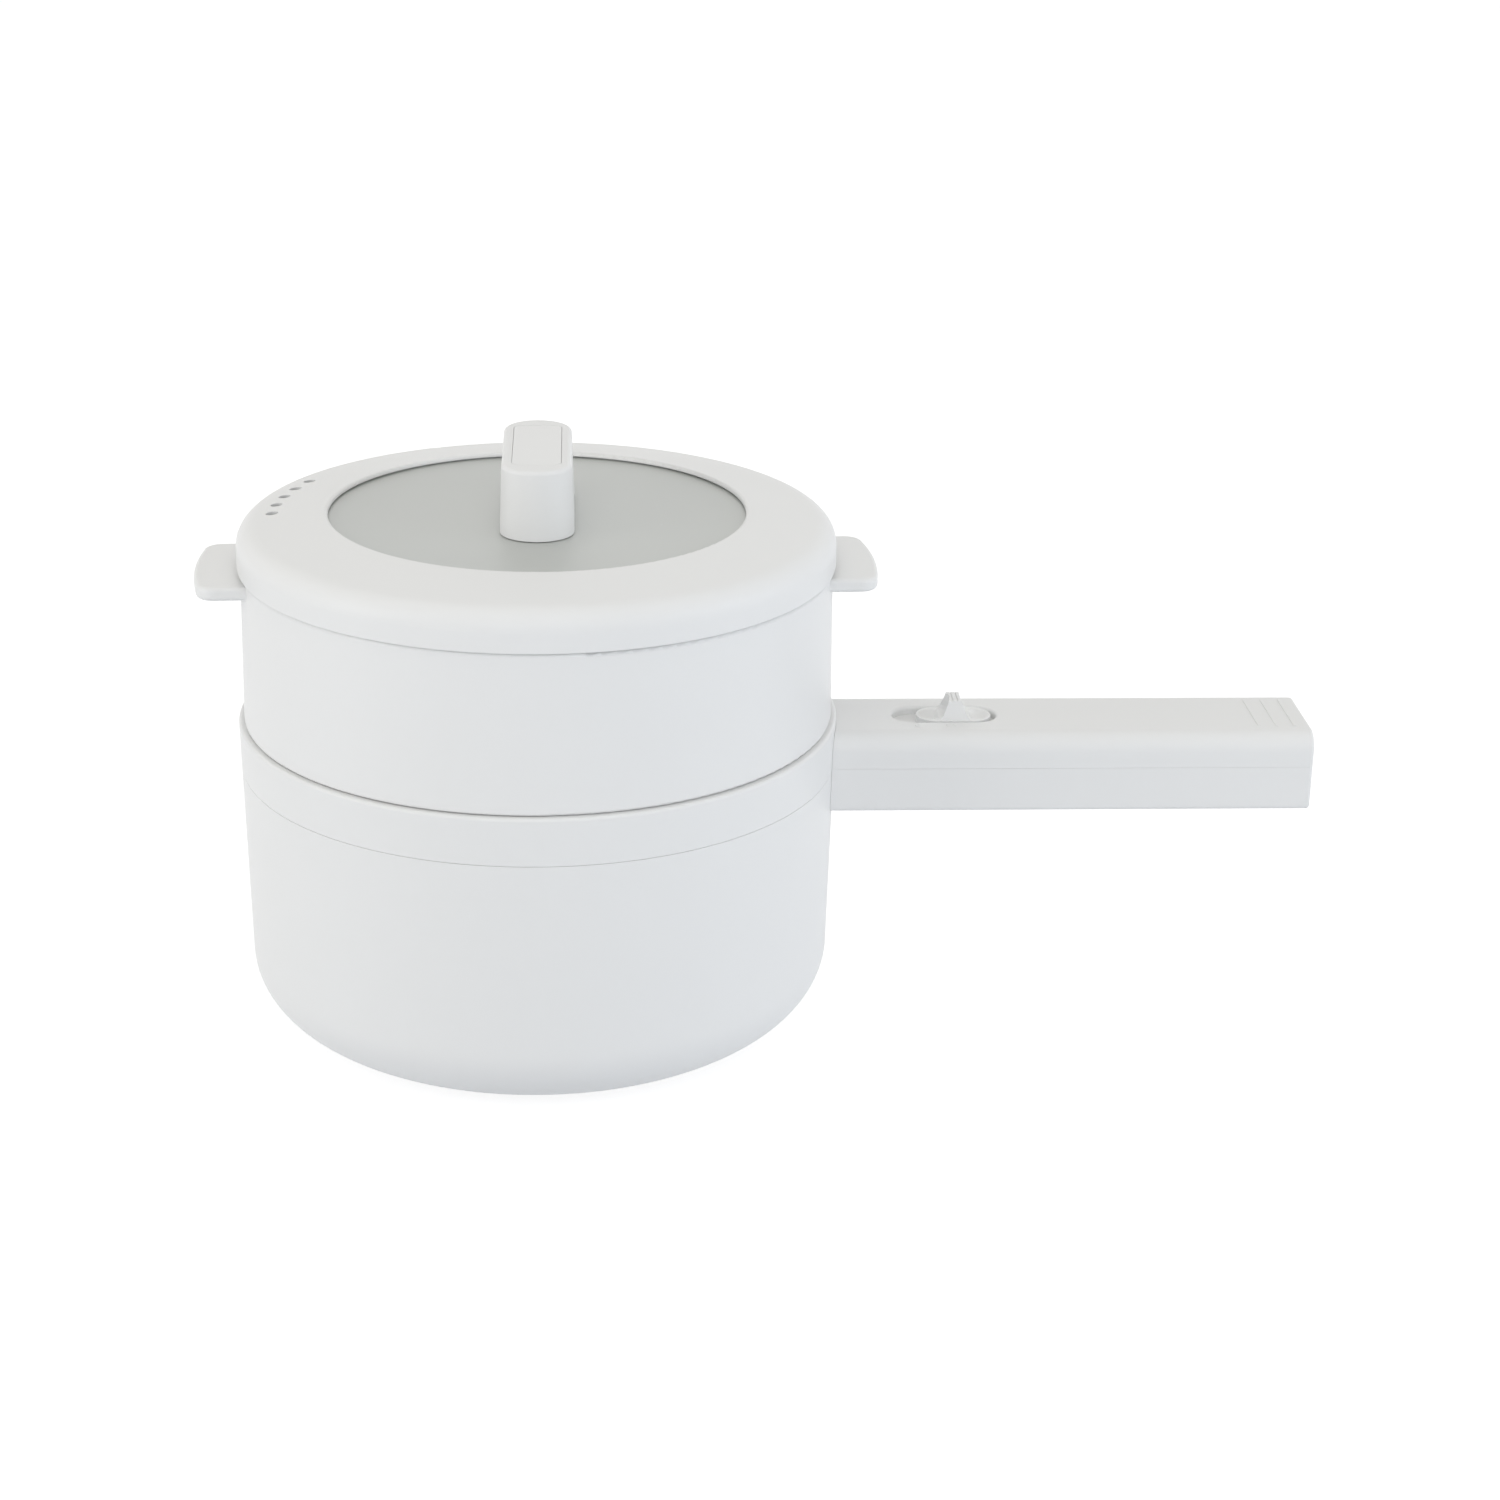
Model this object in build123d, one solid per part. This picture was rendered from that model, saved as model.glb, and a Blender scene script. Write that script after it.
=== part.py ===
from build123d import *
import math
import os

# An electric cooker: a pot with a bar handle, a steamer tier that lifts off the pot and a
# glass lid that lifts off the tier. Millimetres, +Z up, +X along the handle, and the origin
# on the table under the middle of the pot.

# Clearances
LIFT_GAP = 0.25  # under a piece that lifts off
SPIGOT_GAP = 0.6  # round a spigot that lifts out
FIT_GAP = 0.2  # between fixed pieces that slip together
SEAM_GAP = 0.05  # along a closed seam
RING_GAP = 0.1  # under the rim ring
SLIDE_GAP = 0.35  # beside the sliding button
FLOAT_GAP = 0.25  # under the sliding button
SCREW_GAP = 0.25  # round a shank in a plain hole
BITE_GAP = 0.05  # round a shank in the hole that it is driven into
SEAM_EDGE = 0.12  # rounding along a closed seam

# Pot
FOOT_PROUD = 1.5  # foot ring below the casing
POT_HEIGHT = 98.75  # casing underside to rim
POT_RIM_R = 92.7
POT_DRAFT = 1.16  # degrees
CORNER_REACH = 28.4  # bottom corner, an ellipse
CORNER_RISE = 22.8
CASING_WALL = 2.5
RIM_RING_HEIGHT = 14.8
RIM_RING_WALL = 2.4
RIM_FLANGE = 2.5
RIM_EDGE = 1.0
RIM_MOUTH_GAP = 0.4
SHELF_THICK = 4.0
UPSTAND_WALL = 2.4
AIR_GAP = 2.6  # inner pot to the casing's upstand
INNER_POT_WALL = 1.5
INNER_POT_CORNER = 16.0
INNER_POT_RISE = 26.5  # cooking floor above the casing's underside
GASKET_THICK = 1.0

# Base
COVER_INSET = 4.5  # flat of the casing outside the cover
COVER_THICK = 3.5
LEDGE_WIDTH = 10.0
LEDGE_THICK = 2.5
FOOT_INSET = 15.0  # cover edge to the middle of the foot ring
FOOT_WIDTH = 6.0
FOOT_SEAT = 1.2
COVER_VENTS = 8
COVER_VENT_LENGTH = 14.0
COVER_VENT_WIDTH = 3.0
COVER_VENT_INSET = 32.0
BASE_SCREWS = 4
BASE_SCREW_R = 1.5
BASE_SCREW_LENGTH = 9.0
BASE_HEAD_R = 3.0
BASE_HEAD_HEIGHT = 1.8
BASE_BOSS_R = 4.0
BASE_BOSS_HEIGHT = 6.0

# Heater
PLATE_MARGIN = 2.5  # flat of the inner pot outside the heater plate
PLATE_THICK = 4.0
RING_INSET = 12.0  # plate edge to the middle of the heating ring
HEATER_TUBE_R = 3.5
HEATER_GAP = 20.0  # half of the ring's open angle, degrees
HEATER_LEG = 4.5
HEATER_LEG_R = 3.2
BEAD_R = 2.9
BEAD_THICK = 1.2
PIN_R = 1.4
PIN_LENGTH = 4.8
THERMOSTAT_CAP_R = 8.25
THERMOSTAT_CAP_HEIGHT = 4.0
THERMOSTAT_BODY_R = 7.2
THERMOSTAT_BODY_HEIGHT = 6.0
THERMOSTAT_BLADE_REACH = 14.0
BLADE_THICK = 0.8
BLADE_WIDTH = 4.0
STRAP_LENGTH = 44.0
STRAP_WIDTH = 20.0
STRAP_THICK = 0.8
STRAP_SCREW_INSET = 4.0
STANDOFF_R = 3.5
STRAP_SCREW_R = 1.5
STRAP_SCREW_LENGTH = 4.0
STRAP_HEAD_R = 2.8
STRAP_HEAD_HEIGHT = 1.8
FUSE_R = 2.2
FUSE_LENGTH = 16.0
STUD_R = 2.0
STUD_LENGTH = 8.0
STUD_INSET = 4.0

# Handle
HANDLE_LENGTH = 148.7  # past the pot's rim
HANDLE_WIDTH = 38.5
HANDLE_HEIGHT = 25.3
HANDLE_DROP = 2.92  # rim to the handle's top
HANDLE_WALL = 2.4
HANDLE_TOP_EDGE = 6.0
HANDLE_LOW_EDGE = 1.5
HANDLE_END_EDGE = 1.0
HANDLE_ROOT = 7.0  # solid root past the pot's rim
END_WALL = 2.5
PARTING_DROP = 11.0  # handle's top to its seam
POST_SET = 62.0  # first screw post past the pot's rim
POST_INSET = 38.7  # second screw post in from the handle's end
POST_R = 3.4
COLUMN_R = 4.4
COLUMN_SEAT = 5.0  # handle's underside to the screw's seat
HANDLE_SCREW_R = 1.5
HANDLE_SCREW_BITE = 6.0
HANDLE_HEAD_R = 2.8
HANDLE_HEAD_HEIGHT = 1.8
BOLT_RISE = 7.0  # handle's underside to its bolts and lead hole
BOLT_SPREAD = 12.5
BOLT_R = 2.0
BOLT_LENGTH = 11.5
BOLT_HEAD_R = 3.4
BOLT_HEAD_HEIGHT = 2.0
BOLT_HEAD_ROOM = 0.8  # bolt head to the inner pot
BOLT_BOSS_R = 4.5
GROMMET_WIDTH = 14.4
GROMMET_HEIGHT = 8.8
GROMMET_WALL = 1.2
GROMMET_PROUD = 1.2
RIB_SETS = (5.0, 10.7, 16.3)  # raised lines, in from the handle's end
RIB_LENGTH = 24.0
RIB_WIDTH = 0.8
MARK_HEIGHT = 0.2

# Power switch
SWITCH_SET = 34.3  # middle of the recess past the pot's rim
SLIDER_LENGTH = 23.5
SLIDER_WIDTH = 12.9
SLIDE_TRAVEL = 6.0
SLIDE_END_GAP = 1.6
RECESS_DEPTH = 2.6
RECESS_EDGE = 1.0
TUB_WALL = 1.6
TUB_FLOOR = 1.8
DISH_R = 7.0
DISH_DEPTH = 1.5
DISH_SET = 6.9
FIN_HEIGHT = 6.0
FIN_CREST = 4.0
FIN_FOOT = 13.6
FIN_WAIST = 8.2
FIN_PINCH = 0.5  # hollow of each flank
FIN_HOLLOW_R = 8.0
FIN_HOLLOW_EDGE = 2.0
FIN_CREST_SPAN = 8.4
FIN_FOOT_SPAN = 12.4
FIN_EDGE = 0.5
FIN_GROOVE = 0.35
FIN_GROOVE_SET = 0.75  # groove's middle to the fin's
STEM_LENGTH = 4.0
STEM_WIDTH = 4.4
STEM_REACH = 0.6  # into the switch
SWITCH_LENGTH = 22.0
SWITCH_WIDTH = 12.0
SWITCH_HEIGHT = 8.0
SWITCH_WALL = 1.2
ACTUATOR_LENGTH = 8.0
ACTUATOR_WIDTH = 7.0
ACTUATOR_HEIGHT = 3.0
TERMINAL_SET = 7.0
TERMINAL_LENGTH = 5.0
CLIP_LENGTH = 10.0
CLIP_THICK = 1.5
CLIP_HOOK = 0.8
MARK_INSET = 3.4  # recess edge to the position marks
OFF_MARK_R = 0.9
OFF_MARK_SET = -9.3
ON_MARK_SETS = (0.0, 2.4)
ON_MARK_LENGTH = 1.6
MARK_WIDTH = 0.5

# Power inlet
SOCKET_WIDTH = 24.0
SOCKET_HEIGHT = 16.0
SOCKET_DEPTH = 15.0
SOCKET_CHAMFER = 4.5
INLET_WALL = 1.4
INLET_BACK = 3.0
INLET_SET = 0.4  # inlet's face inside the handle's end
INLET_LIP = 1.6
INLET_LIP_THICK = 1.9
INLET_RIB = 2.0
PIN_SPREAD = 7.0
PIN_OFFSET = 2.0
PIN_THICK = 2.0
PIN_HEIGHT = 4.0
PIN_RECESS = 3.0
PIN_TAB = 7.0

# Leads
LEAD_R = 1.1
LEAD_BEND = 8.0
LEAD_PITCH = 3.2
LEAD_ROOM = 0.8  # lead to the inner pot
LEAD_TOUCH = 0.1  # lead's end to its terminal
LEAD_SIDE = 5.6  # beside the screw posts
BEND_SHARE = 0.45  # of a straight run that a bend may take

# Steamer tier
TIER_HEIGHT = 48.63
TIER_STEP = 1.75  # pot's rim outside the tier's foot
TIER_DRAFT = 0.8  # degrees
TIER_WALL = 2.5
TIER_FLOOR = 2.5
TIER_SPIGOT = 8.0
TIER_LEDGE = 3.0
TIER_TOP_EDGE = 1.4
TIER_MOUTH_EDGE = 0.3
TIER_FOOT_EDGE = 0.8
TIER_TURN = 2.4  # as set down on the pot, degrees
SPIGOT_WALL = 2.2
EAR_WIDTH = 46.0
EAR_REACH = 13.8
EAR_BOW = 2.4  # of the outer edge
EAR_THICK = 4.3
EAR_DROP = 1.2
EAR_CORNER = 5.5
EAR_EDGE = 1.4
STEAM_PLATE_THICK = 1.5
STEAM_PLATE_GAP = 0.8
FINGER_HOLE_R = 9.0
STEAM_HOLE_R = 2.5
STEAM_RINGS = 4
STEAM_RING_PITCH = 15.0
STEAM_HOLES_PER_RING = 6  # more in each ring outward

# Lid
LID_OVERHANG = 1.0
LID_RISE = 15.65  # lid seam to the lip round the glass
FRAME_WIDTH = 27.8
FRAME_SLOPE = 0.13
FRAME_THICK = 2.4
SHOULDER_R = 7.0
SKIRT_WALL = 2.3
SKIRT_EDGE = 0.25
SKIRT_GROOVE = 4.0
LIP_EDGE = 0.9
LIP_DROP = 1.9  # lip to the glass
LIP_GROOVE = 0.6
LIP_GROOVE_DEPTH = 1.5
LID_SPIGOT = 6.0
GLASS_LAP = 5.0
GLASS_THICK = 4.0
GLASS_HOLE_R = 3.0
SEAL_THICK = 1.0
SEAL_LAP = 7.0
CLAMP_LAP = 8.0
CLAMP_THICK = 2.0
CLAMP_SCREWS = 4
CLAMP_SCREW_R = 1.2
CLAMP_SCREW_BITE = 3.6
CLAMP_HEAD_R = 2.4
CLAMP_HEAD_HEIGHT = 1.5
CLAMP_BOSS_R = 3.2
STEAM_VENTS = 5
STEAM_VENT_R = 1.9
STEAM_VENT_PITCH = 6.5  # degrees
STEAM_VENT_TURN = 166.4  # middle of the row, degrees from the handle
STEAM_VENT_INSET = 10.7

# Knob
KNOB_HEIGHT = 21.5  # glass to the knob's top
KNOB_LENGTH = 61.9
KNOB_WIDTH = 22.3
KNOB_TAPER = 2.0  # degrees
KNOB_EDGE = 1.5
KNOB_WALL = 2.6
KNOB_ROOF = 5.0
KNOB_BOSS_R = 5.5
KNOB_PAD_THICK = 0.3
CAP_LENGTH = 44.9
CAP_WIDTH = 14.6
CAP_CORNER = 3.0
CAP_THICK = 1.4
CAP_GROOVE = 0.12
WASHER_R = 7.0
WASHER_THICK = 1.2
KNOB_SCREW_R = 2.0
KNOB_SCREW_BITE = 10.0
KNOB_HEAD_R = 3.8
KNOB_HEAD_HEIGHT = 2.4

# Screws, with the shares of a head that its cross recess takes
CROSS_SPAN = 1.2
CROSS_SLOT = 0.32
CROSS_DEPTH = 0.5
SCREW_TURN = 45.0  # first screw of a ring from the handle, degrees

UP = (0, 0, 1)

# Heights and radii that follow
z_under = FOOT_PROUD
z_rim = z_under + POT_HEIGHT
z_ring = z_rim - RIM_RING_HEIGHT
z_flange = z_rim - RIM_FLANGE
z_upstand = z_flange - INNER_POT_WALL - GASKET_THICK
z_shelf = z_ring - SHELF_THICK
z_floor = z_under + INNER_POT_RISE
z_plate_top = z_floor - INNER_POT_WALL
z_plate = z_plate_top - PLATE_THICK
z_tube = z_plate - HEATER_TUBE_R
z_leg = z_tube - HEATER_LEG
z_cover = z_under + COVER_THICK
z_ledge = z_cover + LEDGE_THICK
z_tier_foot = z_rim + LIFT_GAP
z_tier = z_tier_foot + TIER_HEIGHT
z_lid = z_tier + LIFT_GAP
z_lip = z_lid + LID_RISE
z_glass = z_lip - LIP_DROP
z_glass_under = z_glass - GLASS_THICK
z_clamp = z_glass_under - SEAL_THICK
z_handle = z_rim - HANDLE_DROP
z_handle_low = z_handle - HANDLE_HEIGHT
z_handle_mid = (z_handle + z_handle_low) / 2
z_parting = z_handle - PARTING_DROP
z_bolt = z_handle_low + BOLT_RISE
z_switch = z_handle - RECESS_DEPTH - TUB_FLOOR
z_terminal = z_switch - SWITCH_HEIGHT - TERMINAL_LENGTH / 2
z_lead = z_leg - BEAD_THICK - LEAD_R - LEAD_TOUCH
z_fuse = z_leg - BEAD_THICK - FUSE_R - LEAD_TOUCH
z_thermostat = z_plate - THERMOSTAT_CAP_HEIGHT - THERMOSTAT_BODY_HEIGHT


def pot_radius(z):
    """Outer radius of the drafted pot wall at height z."""
    return POT_RIM_R - (z_rim - z) * math.tan(math.radians(POT_DRAFT))


corner_end = math.degrees(math.atan(CORNER_RISE / CORNER_REACH * math.tan(math.radians(POT_DRAFT))))
z_corner = z_under + CORNER_RISE
z_corner_end = z_corner - CORNER_RISE * math.sin(math.radians(corner_end))
corner_r = pot_radius(z_corner_end) - CORNER_REACH * math.cos(math.radians(corner_end))
cover_r = corner_r - COVER_INSET
ledge_r = cover_r - LEDGE_WIDTH
foot_r = cover_r - FOOT_INSET
base_screw_r = cover_r - LEDGE_WIDTH / 2
ring_wall_r = pot_radius(z_ring) - RIM_RING_WALL
upstand_r = ring_wall_r - FIT_GAP
upstand_inner_r = upstand_r - UPSTAND_WALL
flange_r = upstand_r - FIT_GAP
inner_pot_r = upstand_inner_r - AIR_GAP - INNER_POT_WALL
pot_outer_r = inner_pot_r + INNER_POT_WALL
rim_mouth_r = inner_pot_r + RIM_MOUTH_GAP
plate_r = inner_pot_r - INNER_POT_CORNER - PLATE_MARGIN
heater_ring_r = plate_r - RING_INSET
tier_foot_r = POT_RIM_R - TIER_STEP
tier_r = tier_foot_r - TIER_HEIGHT * math.tan(math.radians(TIER_DRAFT))
tier_mouth_r = tier_r - TIER_WALL
tier_spigot_r = inner_pot_r - SPIGOT_GAP
steam_plate_r = tier_mouth_r - STEAM_PLATE_GAP
lid_r = tier_r + LID_OVERHANG
lip_r = lid_r - FRAME_WIDTH
lid_spigot_r = tier_mouth_r - SPIGOT_GAP
glass_r = lip_r + GLASS_LAP
seat_r = glass_r + SEAL_THICK + FIT_GAP
clamp_screw_r = seat_r + CLAMP_BOSS_R
clamp_r = clamp_screw_r + CLAMP_BOSS_R

# Places along the handle
x_end = POT_RIM_R + HANDLE_LENGTH
x_cavity = POT_RIM_R + HANDLE_ROOT
x_cavity_end = x_end - END_WALL
x_recess = POT_RIM_R + SWITCH_SET
x_slider = x_recess + SLIDE_TRAVEL / 2
x_post = POT_RIM_R + POST_SET
x_end_post = x_end - POST_INSET
x_bolt_seat = pot_outer_r + BOLT_HEAD_ROOM + BOLT_HEAD_HEIGHT
x_drop = pot_outer_r + LEAD_ROOM + LEAD_R
x_inlet = x_end - INLET_SET
x_inlet_back = x_inlet - SOCKET_DEPTH - INLET_BACK
x_tab = x_inlet_back - PIN_TAB
recess_length = SLIDER_LENGTH + SLIDE_TRAVEL + 2 * SLIDE_END_GAP
recess_width = SLIDER_WIDTH + 2 * SLIDE_GAP
inlet_half_width = SOCKET_WIDTH / 2 + INLET_WALL
inlet_half_height = SOCKET_HEIGHT / 2 + INLET_WALL


def turned(*corners):
    """Solid turned about Z from corners of radius, height and, where rounded, edge radius."""
    face = make_face(Polyline(*[corner[:2] for corner in corners], close=True))
    for corner in corners:
        if len(corner) == 3:
            face = fillet(face.vertices().sort_by_distance(corner[:2])[0], corner[2])
    return revolve(Plane.XZ * face, Axis.Z)


def washer(inner, outer, low, high):
    """Flat ring about Z."""
    return turned((inner, low), (outer, low), (outer, high), (inner, high))


def slab(low, high):
    """Box between two corners."""
    size = Vector(high) - Vector(low)
    return Pos((Vector(low) + Vector(high)) * 0.5) * Box(size.X, size.Y, size.Z)


def rod(radius, start, end):
    """Round bar between two points."""
    run = Vector(end) - Vector(start)
    return extrude(Plane(origin=start, z_dir=run) * Circle(radius), run.length)


def obround(length, width, x, low, high):
    """Bar with round ends, long along X, centred on y = 0."""
    return extrude(Pos(x, 0, low) * SlotOverall(length, width), high - low)


def across(sketch, x, z, length):
    """Prism along +X from a sketch of Y and Z that starts at x and is centred on z."""
    return extrude(Plane(origin=(x, 0, z), x_dir=(0, 1, 0), z_dir=(1, 0, 0)) * sketch, length)


def screw(seat, towards, shank_r, length, head_r, head_height):
    """Pan head screw with a cross recess, its head seated at a point."""
    plane = Plane(origin=seat, z_dir=towards)
    body = extrude(plane * Circle(shank_r), length) + extrude(plane * Circle(head_r), -head_height)
    slot = Rectangle(CROSS_SPAN * head_r, CROSS_SLOT * head_r)
    cross = slot + Rot(0, 0, 90) * slot
    return body - extrude(plane.offset(-head_height) * cross, CROSS_DEPTH * head_height)


def round_places(radius, count, first):
    """Places spaced evenly on a circle about Z."""
    return [Rot(0, 0, first + 360 * i / count) * Pos(radius, 0, 0) for i in range(count)]


def lead(*points):
    """Insulated lead along straight runs joined by arcs."""
    route = [Vector(point) for point in points]
    radii = []
    for before, corner, after in zip(route, route[1:], route[2:]):
        turn = math.radians((corner - before).get_angle(after - corner))
        room = BEND_SHARE * min((corner - before).length, (after - corner).length)
        radii.append(min(LEAD_BEND, room / math.tan(turn / 2)))
    path = FilletPolyline(*route, radius=radii)
    return sweep(Plane(origin=path @ 0, z_dir=path % 0) * Circle(LEAD_R), path)


def base_screw_places():
    return round_places(base_screw_r, BASE_SCREWS, SCREW_TURN)


def bolt_sides():
    return (BOLT_SPREAD, -BOLT_SPREAD)


def lead_hole(growth):
    """Outline of the lead grommet, grown all round."""
    return SlotOverall(GROMMET_WIDTH + 2 * growth, GROMMET_HEIGHT + 2 * growth)


# Pot
def outer_casing():
    inner_reach = CORNER_REACH - CASING_WALL
    inner_rise = CORNER_RISE - COVER_THICK - LEDGE_THICK
    rebate_r = cover_r + FIT_GAP
    centre = (corner_r, z_corner)
    outside = EllipticalCenterArc(centre, CORNER_REACH, CORNER_RISE, 270, arc_size=90 - corner_end)
    inside = EllipticalCenterArc(centre, inner_reach, inner_rise, 270, arc_size=90)
    wall = Polyline(
        outside @ 1,
        (pot_radius(z_ring), z_ring),
        (upstand_r, z_ring),
        (upstand_r, z_upstand),
        (upstand_inner_r, z_upstand),
        (upstand_inner_r, z_shelf),
        (pot_radius(z_shelf) - CASING_WALL, z_shelf),
        inside @ 1,
    )
    floor = Polyline(
        inside @ 0,
        (ledge_r, z_ledge),
        (ledge_r, z_cover),
        (rebate_r, z_cover),
        (rebate_r, z_under),
        outside @ 0,
    )
    face = make_face([outside, inside, *wall.edges(), *floor.edges()])
    seam_corner = face.vertices().sort_by_distance((pot_radius(z_ring), z_ring))[0]
    shell = revolve(Plane.XZ * fillet(seam_corner, SEAM_EDGE), Axis.Z)
    for place in base_screw_places():
        top = z_ledge + BASE_BOSS_HEIGHT
        shell += place * rod(BASE_BOSS_R, (0, 0, z_cover), (0, 0, top))
        shell -= place * rod(BASE_SCREW_R + BITE_GAP, (0, 0, z_under), (0, 0, top))
    for y in bolt_sides():
        x_wall = math.sqrt((pot_radius(z_bolt) - CASING_WALL / 2) ** 2 - y**2)
        shell += rod(BOLT_BOSS_R, (x_bolt_seat, y, z_bolt), (x_wall, y, z_bolt))
        shell -= rod(BOLT_R + SCREW_GAP, (x_bolt_seat, y, z_bolt), (x_cavity, y, z_bolt))
        shell -= rod(BOLT_HEAD_R + SCREW_GAP, (pot_outer_r, y, z_bolt), (x_bolt_seat, y, z_bolt))
    return shell - across(lead_hole(FIT_GAP), pot_outer_r, z_bolt, x_cavity - pot_outer_r)


def rim_ring():
    low = z_ring + RING_GAP
    return turned(
        (ring_wall_r, low),
        (pot_radius(low), low, SEAM_EDGE),
        (POT_RIM_R, z_rim, RIM_EDGE),
        (rim_mouth_r, z_rim, RIM_EDGE / 2),
        (rim_mouth_r, z_flange),
        (ring_wall_r, z_flange),
    )


def inner_pot():
    return turned(
        (0, z_plate_top),
        (pot_outer_r, z_plate_top, INNER_POT_CORNER + INNER_POT_WALL),
        (pot_outer_r, z_flange - INNER_POT_WALL),
        (flange_r, z_flange - INNER_POT_WALL),
        (flange_r, z_flange),
        (inner_pot_r, z_flange),
        (inner_pot_r, z_floor, INNER_POT_CORNER),
        (0, z_floor),
    )


def rim_gasket():
    return washer(upstand_inner_r, flange_r, z_upstand, z_upstand + GASKET_THICK)


# Base
def base_cover():
    cover = rod(cover_r, (0, 0, z_under), (0, 0, z_cover))
    cover -= washer(foot_r - FOOT_WIDTH / 2, foot_r + FOOT_WIDTH / 2, z_under, z_under + FOOT_SEAT)
    for place in base_screw_places():
        cover -= place * rod(BASE_SCREW_R + SCREW_GAP, (0, 0, z_under), (0, 0, z_cover))
        cover -= place * rod(BASE_HEAD_R + SCREW_GAP, (0, 0, z_under), (0, 0, base_screw_seat()))
    for place in round_places(cover_r - COVER_VENT_INSET, COVER_VENTS, 0):
        cover -= place * obround(COVER_VENT_LENGTH, COVER_VENT_WIDTH, 0, z_under, z_cover)
    return cover


def base_screw_seat():
    return z_under + BASE_HEAD_HEIGHT + FIT_GAP


def base_screws():
    seat = (0, 0, base_screw_seat())
    one = screw(seat, UP, BASE_SCREW_R, BASE_SCREW_LENGTH, BASE_HEAD_R, BASE_HEAD_HEIGHT)
    return [place * one for place in base_screw_places()]


def foot_ring():
    inner = foot_r - FOOT_WIDTH / 2
    outer = foot_r + FOOT_WIDTH / 2
    return washer(inner, outer, 0, z_under + FOOT_SEAT)


# Heater
def heater_pin_places():
    """Feet of the heating ring's two ends, in plan."""
    turn = math.radians(HEATER_GAP)
    x = heater_ring_r * math.cos(turn)
    y = heater_ring_r * math.sin(turn)
    return [Vector(x, y), Vector(x, -y)]


def strap_screw_places():
    y = STRAP_LENGTH / 2 - STRAP_SCREW_INSET
    return [Pos(0, y, 0), Pos(0, -y, 0)]


def heater_plate():
    plate = rod(plate_r, (0, 0, z_plate), (0, 0, z_plate_top))
    for place in strap_screw_places():
        foot = z_plate - THERMOSTAT_CAP_HEIGHT
        plate += place * rod(STANDOFF_R, (0, 0, foot), (0, 0, z_plate))
        plate -= place * rod(STRAP_SCREW_R + BITE_GAP, (0, 0, foot), (0, 0, z_plate))
    stud_end = (plate_r - STUD_INSET, LEAD_PITCH, z_plate - STUD_LENGTH)
    return plate + rod(STUD_R, stud_end, (plate_r - STUD_INSET, LEAD_PITCH, z_plate))


def heater_tube():
    first = HEATER_GAP - math.degrees(HEATER_TUBE_R / heater_ring_r)
    path = CenterArc((0, 0, z_tube), heater_ring_r, first, 360 - 2 * first)
    tube = sweep(Plane(origin=path @ 0, z_dir=path % 0) * Circle(HEATER_TUBE_R), path)
    for foot in heater_pin_places():
        tube += rod(HEATER_LEG_R, (foot.X, foot.Y, z_leg), (foot.X, foot.Y, z_tube))
    return tube


def heater_pins():
    return [rod(PIN_R, (p.X, p.Y, z_leg - PIN_LENGTH), (p.X, p.Y, z_leg)) for p in heater_pin_places()]


def heater_beads():
    bead = washer(PIN_R + BITE_GAP, BEAD_R, z_leg - BEAD_THICK, z_leg)
    return [Pos(p.X, p.Y, 0) * bead for p in heater_pin_places()]


def thermostat():
    shoulder = z_plate - THERMOSTAT_CAP_HEIGHT
    body = rod(THERMOSTAT_CAP_R, (0, 0, shoulder), (0, 0, z_plate))
    body += rod(THERMOSTAT_BODY_R, (0, 0, z_thermostat), (0, 0, shoulder))
    reach = THERMOSTAT_BLADE_REACH
    side = BLADE_WIDTH / 2
    return body + slab((-reach, -side, z_thermostat), (reach, side, z_thermostat + BLADE_THICK))


def thermostat_strap():
    top = z_plate - THERMOSTAT_CAP_HEIGHT
    outline = Rot(0, 0, 90) * SlotOverall(STRAP_LENGTH, STRAP_WIDTH)
    strap = extrude(Pos(0, 0, top - STRAP_THICK) * outline, STRAP_THICK)
    strap -= rod(THERMOSTAT_BODY_R + FIT_GAP, (0, 0, top - STRAP_THICK), (0, 0, top))
    for place in strap_screw_places():
        strap -= place * rod(STRAP_SCREW_R + SCREW_GAP, (0, 0, top - STRAP_THICK), (0, 0, top))
    return strap


def strap_screws():
    seat = (0, 0, z_plate - THERMOSTAT_CAP_HEIGHT - STRAP_THICK)
    one = screw(seat, UP, STRAP_SCREW_R, STRAP_SCREW_LENGTH, STRAP_HEAD_R, STRAP_HEAD_HEIGHT)
    return [place * one for place in strap_screw_places()]


fuse_aim = Vector(plate_r + LEAD_BEND, -LEAD_PITCH, z_fuse)


def fuse_ends():
    """Ends of the thermal fuse, in line between the neutral lead and its heater pin."""
    pin = heater_pin_places()[1] + Vector(0, 0, z_fuse)
    run = (fuse_aim - pin).normalized()
    near = pin + run * (PIN_R + LEAD_TOUCH)
    return near, near + run * FUSE_LENGTH


def thermal_fuse():
    near, far = fuse_ends()
    return rod(FUSE_R, near, far)


# Handle
def handle_bar(growth, x_low, x_high):
    """The handle's section, grown all round, as a bar along X."""
    half = HANDLE_WIDTH / 2 + growth
    low = z_handle_low - growth
    high = z_handle + growth
    section = make_face(Polyline((-half, low), (half, low), (half, high), (-half, high), close=True))
    section = fillet(section.vertices().group_by(Axis.Y)[-1], HANDLE_TOP_EDGE + growth)
    if HANDLE_LOW_EDGE + growth > 0:
        section = fillet(section.vertices().group_by(Axis.Y)[0], HANDLE_LOW_EDGE + growth)
    return across(section, x_low, 0, x_high - x_low)


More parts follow.
